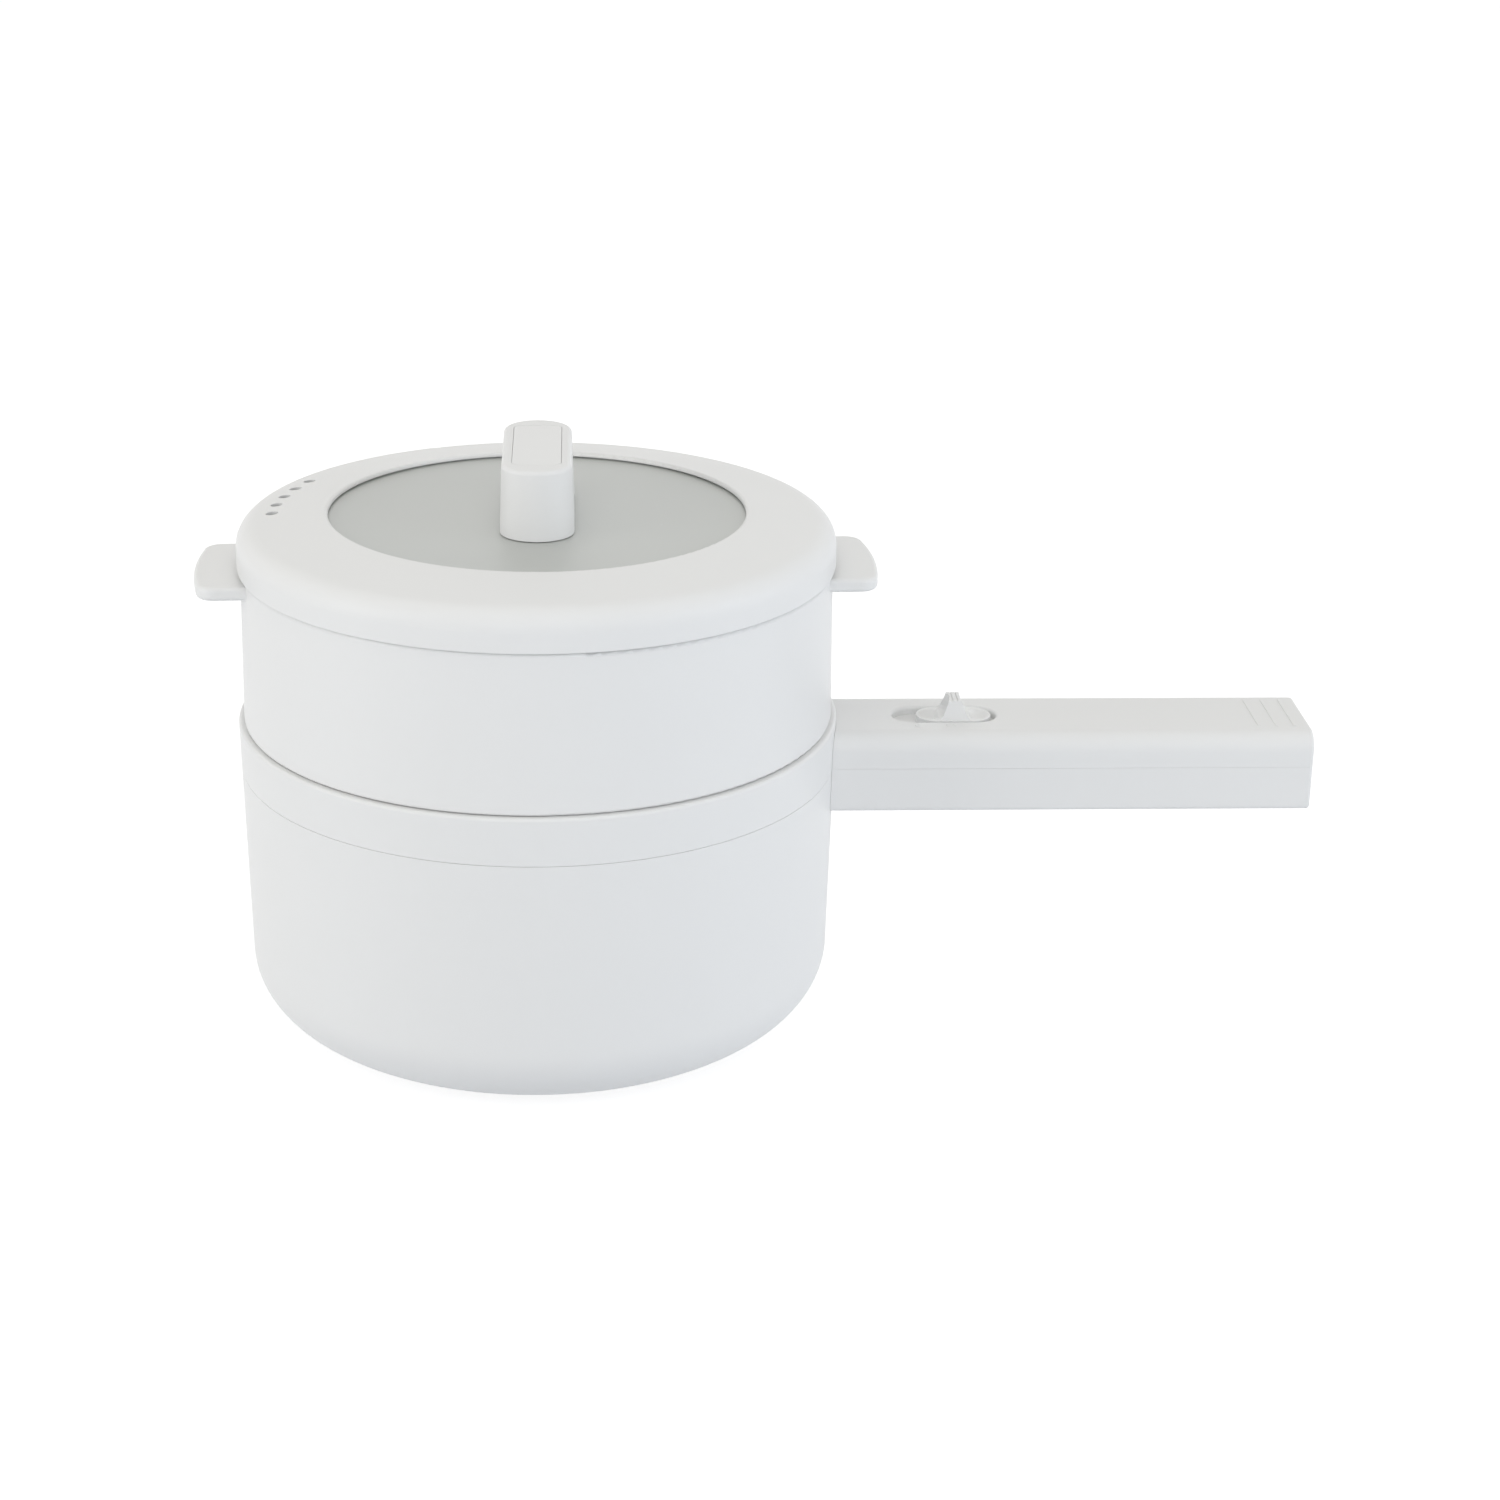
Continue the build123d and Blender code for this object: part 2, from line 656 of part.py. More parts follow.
def handle_shell():
    """Both handle halves as one hollow shell, saddled to the pot."""
    bar = handle_bar(0, 0, x_end)
    bar = fillet(bar.faces().sort_by(Axis.X)[-1].edges(), HANDLE_END_EDGE)
    low = z_handle_low - HANDLE_HEIGHT
    bar -= turned(
        (0, low),
        (pot_radius(low) + SEAM_GAP, low),
        (POT_RIM_R + SEAM_GAP, z_rim),
        (0, z_rim),
    )
    bar -= handle_bar(-HANDLE_WALL, x_cavity, x_cavity_end)
    half_width = inlet_half_width + FIT_GAP
    half_height = inlet_half_height + FIT_GAP
    bar -= slab(
        (x_cavity_end - END_WALL, -half_width, z_handle_mid - half_height),
        (x_end + END_WALL, half_width, z_handle_mid + half_height),
    )
    return bar


def inlet_ribs():
    """Ribs behind the inlet's lip, on both sides of the handle."""
    x = x_cavity_end - INLET_LIP_THICK - FIT_GAP
    inner = inlet_half_width + FIT_GAP
    outer = (HANDLE_WIDTH - HANDLE_WALL) / 2
    low = (x - INLET_RIB, inner, z_handle_low + HANDLE_WALL / 2)
    rib = slab(low, (x, outer, z_handle - HANDLE_TOP_EDGE))
    return rib + mirror(rib, Plane.XZ)


def post_places():
    return [Pos(x_post, 0, 0), Pos(x_end_post, 0, 0)]


def position_marks():
    """Raised marks beside the switch: a ring for off and bars for on."""
    y = -recess_width / 2 - MARK_INSET
    ring = Circle(OFF_MARK_R) - Circle(OFF_MARK_R - MARK_WIDTH)
    marks = [Pos(x_recess + OFF_MARK_SET, y) * ring]
    for set_over in ON_MARK_SETS:
        marks.append(Pos(x_recess + set_over, y) * Rectangle(MARK_WIDTH, ON_MARK_LENGTH))
    return [extrude(Pos(0, 0, z_handle - MARK_HEIGHT) * mark, 2 * MARK_HEIGHT) for mark in marks]


def end_ribs():
    """Raised lines across the top of the handle's end."""
    line = Rectangle(RIB_WIDTH, RIB_LENGTH)
    low = z_handle - MARK_HEIGHT
    return [extrude(Pos(x_end - set_in, 0, low) * line, 2 * MARK_HEIGHT) for set_in in RIB_SETS]


def stem_slot(low, high):
    """Slot that the button's stem slides in."""
    length = STEM_LENGTH + SLIDE_TRAVEL + 2 * SLIDE_GAP
    width = STEM_WIDTH + 2 * SLIDE_GAP
    return slab((x_recess - length / 2, -width / 2, low), (x_recess + length / 2, width / 2, high))


def switch_clips():
    """Hooked legs that hold the switch up under the recess."""
    inner = SWITCH_WIDTH / 2 + FIT_GAP
    low = z_switch - SWITCH_HEIGHT - FIT_GAP
    x_low = x_recess - CLIP_LENGTH / 2
    x_high = x_recess + CLIP_LENGTH / 2
    clip = slab((x_low, inner, low - CLIP_THICK), (x_high, inner + CLIP_THICK, z_switch + TUB_FLOOR / 2))
    clip += slab((x_low, inner - CLIP_HOOK, low - CLIP_THICK), (x_high, inner, low))
    return clip + mirror(clip, Plane.XZ)


def handle_upper():
    seam = Plane.XY.offset(z_parting + SEAM_GAP / 2)
    half = handle_shell() + inlet_ribs()
    half = split(half, seam, Keep.TOP)
    tub_length = recess_length + 2 * TUB_WALL
    tub_width = recess_width + 2 * TUB_WALL
    half += obround(tub_length, tub_width, x_recess, z_switch, z_handle - HANDLE_WALL / 2)
    half -= obround(recess_length, recess_width, x_recess, z_handle - RECESS_DEPTH, z_handle + RECESS_DEPTH)
    top = half.faces().filter_by(Axis.Z).sort_by(Axis.Z)[-1]
    half = fillet(top.inner_wires().edges(), RECESS_EDGE)
    half -= stem_slot(z_switch, z_handle)
    for place in post_places():
        half += place * rod(POST_R, (0, 0, seam.origin.Z), (0, 0, z_handle - HANDLE_WALL / 2))
        bite = z_parting + HANDLE_SCREW_BITE + FIT_GAP
        half -= place * rod(HANDLE_SCREW_R + BITE_GAP, (0, 0, z_parting), (0, 0, bite))
    half += switch_clips()
    for line in end_ribs() + position_marks():
        half += line
    return half


def handle_screw_seat():
    return z_handle_low + COLUMN_SEAT


def handle_lower():
    seam = Plane.XY.offset(z_parting - SEAM_GAP / 2)
    half = split(handle_shell() + inlet_ribs(), seam, Keep.BOTTOM)
    for place in post_places():
        low = (0, 0, z_handle_low)
        half += place * rod(COLUMN_R, (0, 0, z_handle_low + HANDLE_WALL / 2), (0, 0, seam.origin.Z))
        half -= place * rod(HANDLE_SCREW_R + SCREW_GAP, low, (0, 0, z_parting))
        half -= place * rod(HANDLE_HEAD_R + SCREW_GAP, low, (0, 0, handle_screw_seat()))
    for y in bolt_sides():
        half -= rod(BOLT_R + BITE_GAP, (x_bolt_seat, y, z_bolt), (x_cavity, y, z_bolt))
    return half - across(lead_hole(FIT_GAP), pot_outer_r, z_bolt, x_cavity - pot_outer_r)


def handle_screws():
    length = z_parting - handle_screw_seat() + HANDLE_SCREW_BITE
    seat = (0, 0, handle_screw_seat())
    one = screw(seat, UP, HANDLE_SCREW_R, length, HANDLE_HEAD_R, HANDLE_HEAD_HEIGHT)
    return [place * one for place in post_places()]


def handle_bolts():
    seats = [(x_bolt_seat, y, z_bolt) for y in bolt_sides()]
    return [screw(seat, (1, 0, 0), BOLT_R, BOLT_LENGTH, BOLT_HEAD_R, BOLT_HEAD_HEIGHT) for seat in seats]


def lead_grommet():
    x = pot_radius(z_bolt) - CASING_WALL - GROMMET_PROUD
    sleeve = across(lead_hole(0), x, z_bolt, x_cavity - x)
    return sleeve - across(lead_hole(-GROMMET_WALL), x, z_bolt, x_cavity - x)


# Power switch
def power_slider():
    low = z_handle - RECESS_DEPTH + FLOAT_GAP
    button = obround(SLIDER_LENGTH, SLIDER_WIDTH, 0, low, z_handle)
    for side in (-1, 1):
        button -= Pos(side * DISH_SET, 0, z_handle + DISH_R - DISH_DEPTH) * Sphere(DISH_R)
    foot = low + FLOAT_GAP
    crest = z_handle + FIN_HEIGHT
    waist = (foot + 2 * z_handle + crest) / 4
    flank = ThreePointArc((FIN_FOOT / 2, foot), (FIN_WAIST / 2, waist), (FIN_CREST / 2, crest))
    other = mirror(flank, Plane.YZ)
    outline = [flank, other, Line(flank @ 0, other @ 0), Line(flank @ 1, other @ 1)]
    fin = extrude(Plane.XZ * make_face(outline), FIN_FOOT_SPAN / 2, both=True)
    side_view = Polyline(
        (-FIN_FOOT_SPAN / 2, foot),
        (FIN_FOOT_SPAN / 2, foot),
        (FIN_CREST_SPAN / 2, crest),
        (-FIN_CREST_SPAN / 2, crest),
        close=True,
    )
    fin &= across(make_face(side_view), -FIN_FOOT, 0, 2 * FIN_FOOT)
    fin = fillet(fin.faces().sort_by(Axis.Z)[-1].edges(), FIN_EDGE)
    for side in (-1, 1):
        x = side * (FIN_CREST / 2 - FIN_PINCH + FIN_HOLLOW_R)
        hollow = rod(FIN_HOLLOW_R, (x, 0, z_handle), (x, 0, crest))
        fin -= fillet(hollow.faces().sort_by(Axis.Z)[0].edges(), FIN_HOLLOW_EDGE)
        x = side * FIN_GROOVE_SET
        fin -= slab(
            (x - FIN_GROOVE / 2, -FIN_FOOT_SPAN, crest - FIN_GROOVE),
            (x + FIN_GROOVE / 2, FIN_FOOT_SPAN, crest + FIN_GROOVE),
        )
    stem_low = (-STEM_LENGTH / 2, -STEM_WIDTH / 2, z_switch - STEM_REACH)
    stem = slab(stem_low, (STEM_LENGTH / 2, STEM_WIDTH / 2, foot))
    return Pos(x_slider, 0, 0) * (button + fin + stem)


def switch_cavity_top():
    return z_switch - SWITCH_WALL


def switch_body():
    half = SWITCH_LENGTH / 2
    side = SWITCH_WIDTH / 2
    floor = switch_cavity_top() - ACTUATOR_HEIGHT - 2 * FLOAT_GAP
    body = slab((x_recess - half, -side, z_switch - SWITCH_HEIGHT), (x_recess + half, side, z_switch))
    body -= slab(
        (x_recess - half + SWITCH_WALL, -side + SWITCH_WALL, floor),
        (x_recess + half - SWITCH_WALL, side - SWITCH_WALL, switch_cavity_top()),
    )
    return body - stem_slot(floor, z_switch)


def switch_actuator():
    top = switch_cavity_top() - FLOAT_GAP
    neck_low = (x_slider - STEM_LENGTH / 2, -STEM_WIDTH / 2, top)
    neck = slab(neck_low, (x_slider + STEM_LENGTH / 2, STEM_WIDTH / 2, z_switch - STEM_REACH))
    half = ACTUATOR_LENGTH / 2
    side = ACTUATOR_WIDTH / 2
    return neck + slab((x_slider - half, -side, top - ACTUATOR_HEIGHT), (x_slider + half, side, top))


def switch_terminals():
    top = z_switch - SWITCH_HEIGHT
    low = (-BLADE_THICK / 2, -BLADE_WIDTH / 2, top - TERMINAL_LENGTH)
    blade = slab(low, (BLADE_THICK / 2, BLADE_WIDTH / 2, top))
    return [Pos(x_recess + side * TERMINAL_SET, 0, 0) * blade for side in (-1, 1)]


# Power inlet
def inlet_pin_places():
    """Places of the live, neutral and earth pins across the inlet."""
    low = z_handle_mid - PIN_OFFSET
    return [(PIN_SPREAD, low), (-PIN_SPREAD, low), (0, z_handle_mid + PIN_OFFSET)]


def inlet_pins():
    pin = Rectangle(PIN_THICK, PIN_HEIGHT)
    length = x_inlet - PIN_RECESS - x_tab
    return [Pos(0, y, 0) * across(pin, x_tab, z, length) for y, z in inlet_pin_places()]


def inlet_housing():
    body = slab(
        (x_inlet_back, -inlet_half_width, z_handle_mid - inlet_half_height),
        (x_inlet, inlet_half_width, z_handle_mid + inlet_half_height),
    )
    lip = inlet_half_width + INLET_LIP
    body += slab(
        (x_cavity_end - INLET_LIP_THICK, -lip, z_handle_mid - inlet_half_height),
        (x_cavity_end, lip, z_handle_mid + inlet_half_height),
    )
    mouth = Rectangle(SOCKET_WIDTH, SOCKET_HEIGHT)
    mouth = chamfer(mouth.vertices().group_by(Axis.Y)[0], SOCKET_CHAMFER)
    body -= across(mouth, x_inlet - SOCKET_DEPTH, z_handle_mid, SOCKET_DEPTH)
    for pin in inlet_pins():
        body -= pin
    return body


# Leads
def drop_route(y):
    """Shared run of a lead through the grommet and down beside the inner pot."""
    return [(x_cavity, y, z_bolt), (x_drop, y, z_bolt), (x_drop, y, z_floor)]


def handle_route(side, y, z):
    """Shared run of a lead from an inlet pin along the handle, beside its screw posts."""
    return [
        (x_tab - LEAD_TOUCH, y, z),
        (x_tab - LEAD_BEND / 2, y, z),
        (x_end_post + POST_R, side, z_bolt),
        (x_cavity + 2 * LEAD_BEND, side, z_bolt),
    ]


def live_lead():
    y, z = inlet_pin_places()[0]
    x_blade = x_recess + TERMINAL_SET + BLADE_THICK / 2 + LEAD_TOUCH
    x_turn = x_post - POST_R
    return lead(
        (x_tab - LEAD_TOUCH, y, z),
        (x_turn, y, z),
        (x_blade + LEAD_BEND, 0, z_terminal),
        (x_blade, 0, z_terminal),
    )


def switch_lead():
    x_blade = x_recess - TERMINAL_SET - BLADE_THICK / 2 - LEAD_TOUCH
    x_thermostat = THERMOSTAT_BLADE_REACH + LEAD_TOUCH
    z_blade = z_thermostat + BLADE_THICK / 2
    return lead(
        (x_blade, 0, z_terminal),
        (x_blade - LEAD_BEND, 0, z_terminal),
        *drop_route(0),
        (plate_r, 0, z_lead),
        (x_thermostat + LEAD_BEND, 0, z_blade),
        (x_thermostat, 0, z_blade),
    )


def neutral_lead():
    y, z = inlet_pin_places()[1]
    near, far = fuse_ends()
    tail = far + (far - near).normalized() * LEAD_TOUCH
    return lead(
        *handle_route(-LEAD_SIDE, y, z),
        *drop_route(-LEAD_PITCH),
        fuse_aim,
        tail,
    )


def earth_lead():
    y, z = inlet_pin_places()[2]
    x_stud = plate_r - STUD_INSET + STUD_R + LEAD_TOUCH
    z_stud = z_plate - STUD_LENGTH / 2
    return lead(
        *handle_route(LEAD_SIDE, y, z),
        *drop_route(LEAD_PITCH),
        (x_stud + LEAD_BEND, LEAD_PITCH, z_stud),
        (x_stud, LEAD_PITCH, z_stud),
    )


def thermostat_lead():
    x = THERMOSTAT_BLADE_REACH + LEAD_TOUCH
    z = z_thermostat + BLADE_THICK / 2
    pin = heater_pin_places()[0]
    return lead(
        (-x, 0, z),
        (-x - LEAD_BEND, 0, z),
        (-x - LEAD_BEND, 2 * LEAD_BEND, z_lead),
        (0, pin.Y + LEAD_BEND, z_lead),
        (pin.X - 2 * LEAD_BEND, pin.Y, z_lead),
        (pin.X - PIN_R - LEAD_TOUCH, pin.Y, z_lead),
    )


# Steamer tier
def steamer_tier():
    spigot_inner_r = tier_spigot_r - SPIGOT_WALL
    spigot_low = z_tier_foot - TIER_SPIGOT
    floor = z_tier_foot + TIER_FLOOR
    wall = turned(
        (tier_mouth_r, z_tier, TIER_MOUTH_EDGE),
        (tier_r, z_tier, TIER_TOP_EDGE),
        (tier_foot_r, z_tier_foot, TIER_FOOT_EDGE),
        (tier_spigot_r, z_tier_foot),
        (tier_spigot_r, spigot_low, TIER_FOOT_EDGE),
        (spigot_inner_r, spigot_low, TIER_FOOT_EDGE),
        (spigot_inner_r, z_tier_foot),
        (spigot_inner_r - TIER_LEDGE, z_tier_foot),
        (spigot_inner_r - TIER_LEDGE, floor),
        (tier_foot_r - TIER_WALL, floor),
    )
    top = z_tier - EAR_DROP
    end = tier_r + EAR_REACH
    half = EAR_WIDTH / 2
    tip = ThreePointArc((end - EAR_BOW, -half), (end, 0), (end - EAR_BOW, half))
    outline = make_face([tip, Polyline(tip @ 1, (0, half), (0, -half), tip @ 0)])
    outline = fillet(outline.vertices().group_by(Axis.X)[-1], EAR_CORNER)
    ear = extrude(Pos(0, 0, top - EAR_THICK) * outline, EAR_THICK)
    ear = fillet(ear.edges().group_by(Axis.Z)[0] + ear.edges().group_by(Axis.Z)[-1], EAR_EDGE)
    ear -= rod(tier_r - TIER_WALL / 2, (0, 0, top - 2 * EAR_THICK), (0, 0, top + EAR_THICK))
    return Rot(0, 0, TIER_TURN) * (wall + ear + mirror(ear, Plane.YZ))


def steam_plate():
    low = z_tier_foot + TIER_FLOOR + LIFT_GAP
    high = low + STEAM_PLATE_THICK
    plate = washer(FINGER_HOLE_R, steam_plate_r, low, high)
    holes = []
    for ring in range(1, STEAM_RINGS + 1):
        radius = FINGER_HOLE_R / 2 + ring * STEAM_RING_PITCH
        for place in round_places(radius, ring * STEAM_HOLES_PER_RING, 0):
            holes.append(place * rod(STEAM_HOLE_R, (0, 0, low), (0, 0, high)))
    return plate - holes


# Lid
def frame_under(radius):
    """Underside of the lid frame's sloped top at a radius."""
    return z_lip - FRAME_SLOPE * (radius - lip_r) - FRAME_THICK


def clamp_places():
    return round_places(clamp_screw_r, CLAMP_SCREWS, SCREW_TURN)


def lid_frame():
    spigot_inner_r = lid_spigot_r - SPIGOT_WALL
    frame = turned(
        (lip_r + LIP_GROOVE_DEPTH, z_glass),
        (lip_r + LIP_GROOVE_DEPTH, z_glass + LIP_GROOVE),
        (lip_r, z_glass + LIP_GROOVE),
        (lip_r, z_lip, LIP_EDGE),
        (lid_r, z_lip - FRAME_SLOPE * FRAME_WIDTH, SHOULDER_R),
        (lid_r, z_lid, SKIRT_EDGE),
        (lid_r - SKIRT_WALL, z_lid),
        (lid_r - SKIRT_WALL, z_lid + SKIRT_GROOVE),
        (lid_spigot_r, z_lid + SKIRT_GROOVE),
        (lid_spigot_r, z_lid - LID_SPIGOT, SKIRT_EDGE),
        (spigot_inner_r, z_lid - LID_SPIGOT, SKIRT_EDGE),
        (spigot_inner_r, frame_under(spigot_inner_r)),
        (seat_r, frame_under(seat_r)),
        (seat_r, z_glass),
    )
    for place in clamp_places():
        root = frame_under(clamp_screw_r) + FRAME_THICK / 2
        frame += place * rod(CLAMP_BOSS_R, (0, 0, z_clamp), (0, 0, root))
        bite = z_clamp + CLAMP_SCREW_BITE + FIT_GAP
        frame -= place * rod(CLAMP_SCREW_R + BITE_GAP, (0, 0, z_clamp), (0, 0, bite))
    for i in range(STEAM_VENTS):
        turn = STEAM_VENT_TURN + (i - (STEAM_VENTS - 1) / 2) * STEAM_VENT_PITCH
        vent = rod(STEAM_VENT_R, (lid_r - STEAM_VENT_INSET, 0, z_lid), (lid_r - STEAM_VENT_INSET, 0, z_lip))
        frame -= Rot(0, 0, turn) * vent
    return frame


def lid_glass():
    return washer(GLASS_HOLE_R, glass_r, z_glass_under, z_glass)


def glass_seal():
    outer = glass_r + SEAL_THICK
    return turned(
        (glass_r - SEAL_LAP, z_clamp),
        (outer, z_clamp),
        (outer, z_glass),
        (glass_r, z_glass),
        (glass_r, z_glass_under),
        (glass_r - SEAL_LAP, z_glass_under),
    )


def clamp_ring():
    ring = washer(glass_r - CLAMP_LAP, clamp_r, z_clamp - CLAMP_THICK, z_clamp)
    for place in clamp_places():
        ring -= place * rod(CLAMP_SCREW_R + SCREW_GAP, (0, 0, z_clamp - CLAMP_THICK), (0, 0, z_clamp))
    return ring


def clamp_screws():
    seat = (0, 0, z_clamp - CLAMP_THICK)
    length = CLAMP_THICK + CLAMP_SCREW_BITE
    one = screw(seat, UP, CLAMP_SCREW_R, length, CLAMP_HEAD_R, CLAMP_HEAD_HEIGHT)
    return [place * one for place in clamp_places()]


# Knob
def knob_outline(inset):
    """The knob's plan, long along Y, drawn in all round."""
    return Rot(0, 0, 90) * SlotOverall(KNOB_LENGTH - 2 * inset, KNOB_WIDTH - 2 * inset)


def cap_outline(growth):
    """The cap plate's plan, grown all round."""
    return RectangleRounded(CAP_WIDTH + 2 * growth, CAP_LENGTH + 2 * growth, CAP_CORNER + growth)


def knob():
    low = z_glass + KNOB_PAD_THICK
    top = z_glass + KNOB_HEIGHT
    body = extrude(Pos(0, 0, low) * knob_outline(0), top - low, taper=KNOB_TAPER)
    body = fillet(body.faces().sort_by(Axis.Z)[-1].edges(), KNOB_EDGE)
    body -= extrude(Pos(0, 0, top - CAP_THICK) * cap_outline(CAP_GROOVE), CAP_THICK)
    body -= extrude(Pos(0, 0, low) * knob_outline(KNOB_WALL), top - KNOB_ROOF - low, taper=KNOB_TAPER)
    body += rod(KNOB_BOSS_R, (0, 0, low), (0, 0, top - KNOB_ROOF))
    return body - rod(KNOB_SCREW_R + BITE_GAP, (0, 0, low), (0, 0, low + KNOB_SCREW_BITE + FIT_GAP))


def knob_cap():
    return extrude(Pos(0, 0, z_glass + KNOB_HEIGHT - CAP_THICK) * cap_outline(0), CAP_THICK)


def knob_pad():
    pad = extrude(Pos(0, 0, z_glass) * knob_outline(KNOB_EDGE), KNOB_PAD_THICK)
    return pad - rod(KNOB_SCREW_R + SCREW_GAP, (0, 0, z_glass), (0, 0, z_glass + KNOB_PAD_THICK))


def knob_washer():
    return washer(KNOB_SCREW_R + SCREW_GAP, WASHER_R, z_glass_under - WASHER_THICK, z_glass_under)


def knob_screw():
    seat = (0, 0, z_glass_under - WASHER_THICK)
    length = WASHER_THICK + GLASS_THICK + KNOB_PAD_THICK + KNOB_SCREW_BITE
    return screw(seat, UP, KNOB_SCREW_R, length, KNOB_HEAD_R, KNOB_HEAD_HEIGHT)


PIECES = (
    outer_casing,
    rim_ring,
    inner_pot,
    rim_gasket,
    base_cover,
    base_screws,
    foot_ring,
    heater_plate,
    heater_tube,
    heater_pins,
    heater_beads,
    thermostat,
    thermostat_strap,
    strap_screws,
    thermal_fuse,
    handle_upper,
    handle_lower,
    handle_screws,
    handle_bolts,
    lead_grommet,
    power_slider,
    switch_body,
    switch_actuator,
    switch_terminals,
    inlet_housing,
    inlet_pins,
    live_lead,
    switch_lead,
    neutral_lead,
    earth_lead,
    thermostat_lead,
    steamer_tier,
    steam_plate,
    lid_frame,
    lid_glass,
    glass_seal,
    clamp_ring,
    clamp_screws,
    knob,
    knob_cap,
    knob_pad,
    knob_washer,
    knob_screw,
)

os.makedirs("parts", exist_ok=True)
for piece in PIECES:
    made = piece()
    if isinstance(made, list):
        made = Compound(children=made)
    export_step(made, f"parts/{piece.__name__}.step")
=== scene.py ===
import math

import bpy
from mathutils import Matrix, Vector

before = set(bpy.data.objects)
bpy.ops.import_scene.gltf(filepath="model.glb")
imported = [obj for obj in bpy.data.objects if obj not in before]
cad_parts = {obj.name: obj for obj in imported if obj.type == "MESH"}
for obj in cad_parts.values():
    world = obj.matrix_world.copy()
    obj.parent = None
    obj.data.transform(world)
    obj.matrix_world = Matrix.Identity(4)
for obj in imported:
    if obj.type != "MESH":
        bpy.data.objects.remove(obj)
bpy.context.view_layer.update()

# The finish of an electric cooker with a bar handle, a steamer tier and a glass lid.
# Metres, +Z up, +X along the handle, origin on the table under the middle of the pot.

# Camera, at the photograph's place
LENS = 72.0  # millimetres
SENSOR = 36.0  # millimetres, square frame
CAMERA_PLACE = Vector((0.01179, -0.88125, 0.42548))
CAMERA_YAW = math.radians(3.525)  # to the right
CAMERA_PITCH = math.radians(21.062)  # down
CAMERA_ROLL = math.radians(1.031)

# Lamps, in watts
TOP_LIGHT = 4.0
TOP_PLACE = (-0.1, -0.1, 1.5)
TOP_AIM = (0, 0, 0.15)
TOP_SIZE = 1.6
TOP_COLOUR = (1.0, 0.985, 0.95)
LEFT_LIGHT = 6.7
LEFT_PLACE = (-1.3, -0.55, 0.35)
LEFT_COLOUR = (1.0, 0.99, 0.97)
RIGHT_LIGHT = 7.3
RIGHT_PLACE = (1.4, -0.5, 0.35)
RIGHT_COLOUR = (0.88, 0.93, 1.0)
SIDE_AIM = (0, 0, 0.1)
SIDE_SIZE = 0.9
FRONT_LIGHT = 2.1
FRONT_PLACE = (0.05, -1.0, 0.6)
FRONT_AIM = (0, 0, 0.12)
FRONT_SIZE = 0.9
FRONT_COLOUR = (0.92, 0.955, 1.0)
BACK_LIGHT = 2.6
BACK_PLACE = (0.1, 1.3, 0.4)
BACK_AIM = (0, 0, 0.1)
BACK_SIZE = 0.8
BACK_COLOUR = (0.97, 0.985, 1.0)

# Sky
WORLD_LIGHT = 0.54
SKY_LOW = (0.955, 0.97, 1.0)
SKY_HIGH = (1.0, 0.985, 0.925)

# Floor
FLOOR_SIZE = 12.0
FLOOR_LEVEL = -0.0001  # just under the foot
FLOOR_GLOW = 0.84  # of the shown floor, so that it is white in plain light
FLOOR_SHADE = 0.34  # of the shown floor that takes the object's shadow
FLOOR_BOUNCE = (0.72, 0.745, 0.785)  # of the floor that lights the object

# Colours and refraction
WHITE = (0.8, 0.8, 0.795)
STEEL = (0.6, 0.6, 0.59)
BLACK = (0.03, 0.03, 0.033)
# Grey of the lid glass: its own tint, plus painted shade of the tier's interior seen through it, since the
# pane lets little light through
GLASS_TINT_AND_SHADE = (0.6, 0.617, 0.592)
DUST = (0.72, 0.73, 0.72)
PLASTIC_IOR = 1.49
RUBBER_IOR = 1.43
GLASS_IOR = 1.5


def make_camera():
    ahead = Vector((
        math.sin(CAMERA_YAW) * math.cos(CAMERA_PITCH),
        math.cos(CAMERA_YAW) * math.cos(CAMERA_PITCH),
        -math.sin(CAMERA_PITCH),
    ))
    level = Vector((math.cos(CAMERA_YAW), -math.sin(CAMERA_YAW), 0))
    above = level.cross(ahead)
    right = math.cos(CAMERA_ROLL) * level + math.sin(CAMERA_ROLL) * above
    up = math.cos(CAMERA_ROLL) * above - math.sin(CAMERA_ROLL) * level
    data = bpy.data.cameras.new("camera")
    data.lens = LENS
    data.sensor_width = SENSOR
    camera = bpy.data.objects.new("camera", data)
    turn = Matrix((right, up, -ahead)).transposed()
    camera.matrix_world = Matrix.Translation(CAMERA_PLACE) @ turn.to_4x4()
    bpy.context.scene.collection.objects.link(camera)
    bpy.context.scene.camera = camera


def soft_lamp(name, place, aim, size, watts, colour):
    """Square soft box at a place, turned to a point, that leaves no glare."""
    data = bpy.data.lights.new(name, "AREA")
    data.size = size
    data.energy = watts
    data.color = colour
    lamp = bpy.data.objects.new(name, data)
    lamp.location = place
    lamp.rotation_euler = (Vector(aim) - Vector(place)).to_track_quat("-Z", "Y").to_euler()
    lamp.visible_camera = False
    lamp.visible_glossy = False
    bpy.context.scene.collection.objects.link(lamp)


def background_ray(tree):
    """One for rays that show the background: camera, glossy and transmission rays."""
    path = tree.nodes.new("ShaderNodeLightPath")
    found = path.outputs["Is Camera Ray"]
    for name in ("Is Glossy Ray", "Is Transmission Ray"):
        larger = tree.nodes.new("ShaderNodeMath")
        larger.operation = "MAXIMUM"
        tree.links.new(found, larger.inputs[0])
        tree.links.new(path.outputs[name], larger.inputs[1])
        found = larger.outputs[0]
    return found


def mixed(tree, value, first, second):
    """Colour between two, by a value."""
    made = tree.nodes.new("ShaderNodeMix")
    made.data_type = "RGBA"
    made.inputs["A"].default_value = (*first, 1)
    made.inputs["B"].default_value = (*second, 1)
    tree.links.new(value, made.inputs["Factor"])
    return made.outputs["Result"]


